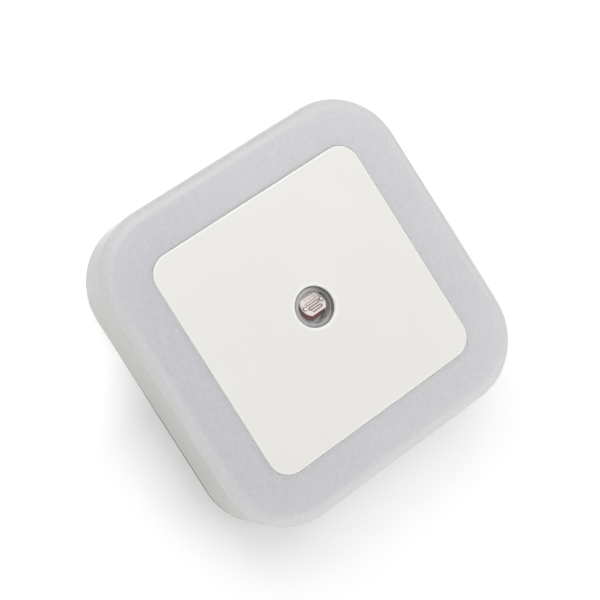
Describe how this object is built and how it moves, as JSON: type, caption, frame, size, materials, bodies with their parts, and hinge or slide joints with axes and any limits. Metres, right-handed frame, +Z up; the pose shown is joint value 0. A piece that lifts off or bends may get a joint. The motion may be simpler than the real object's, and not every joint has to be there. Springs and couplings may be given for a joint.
{
  "type": "plug in night light",
  "caption": "Square plug-in night light: frosted diffuser, white centre plate with a photocell under a clear window, and round mains pins behind.",
  "frame": {"origin": "middle of the plug face, between the two pins", "axes": "+X to the right seen from the room, +Y into the socket along the plug, +Z up"},
  "size_m": [0.063, 0.0519, 0.063],
  "materials": {
    "frosted_plastic": "frosted, translucent",
    "plate_plastic": "satin",
    "clear_plastic": "polished, clear",
    "shield_plastic": "satin",
    "cell_resin": "glossy resin",
    "cell_electrode": "satin under clear resin",
    "cell_track": "satin under clear resin",
    "tinned_metal": "bright",
    "board_laminate": "satin lacquer",
    "led_housing": "matt",
    "led_phosphor": "satin",
    "chip_ceramic": "glazed",
    "film_resin": "satin",
    "can_metal": "bright",
    "can_sleeve": "satin",
    "diode_resin": "matt",
    "band_paint": "painted",
    "fusible_paint": "lacquered",
    "bleeder_paint": "lacquered",
    "solder": "bright",
    "screw_steel": "zinc plated",
    "cover_plastic": "satin",
    "clamp_plastic": "matt",
    "pin_metal": "nickel plated, bright",
    "sleeve_plastic": "satin",
    "live_insulation": "satin",
    "neutral_insulation": "satin"
  },
  "bodies": {
    "root": {"diffuser": "frosted_plastic", "front_plate": "plate_plastic", "sensor_window": "clear_plastic", "light_shield": "shield_plastic", "photocell_body": "cell_resin", "photocell_face": "cell_electrode", "photocell_track": "cell_track", "photocell_contacts": "tinned_metal", "photocell_leads": "tinned_metal", "circuit_board": "board_laminate", "led_packages": "led_housing", "led_phosphors": "led_phosphor", "chip_resistors": "chip_ceramic", "film_capacitor": "film_resin", "electrolytic_capacitor": "can_metal", "capacitor_sleeve": "can_sleeve", "rectifier_diodes": "diode_resin", "diode_bands": "band_paint", "fusible_resistor": "fusible_paint", "bleeder_resistor": "bleeder_paint", "switching_transistor": "diode_resin", "component_leads": "tinned_metal", "solder_joints": "solder", "board_screws": "screw_steel", "rear_cover": "cover_plastic", "pin_clamp": "clamp_plastic", "clamp_screw": "screw_steel", "pin_left": "pin_metal", "pin_right": "pin_metal", "pin_sleeves": "sleeve_plastic", "live_wire": "live_insulation", "neutral_wire": "neutral_insulation", "wire_ends": "tinned_metal"}
  },
  "joints": []
}
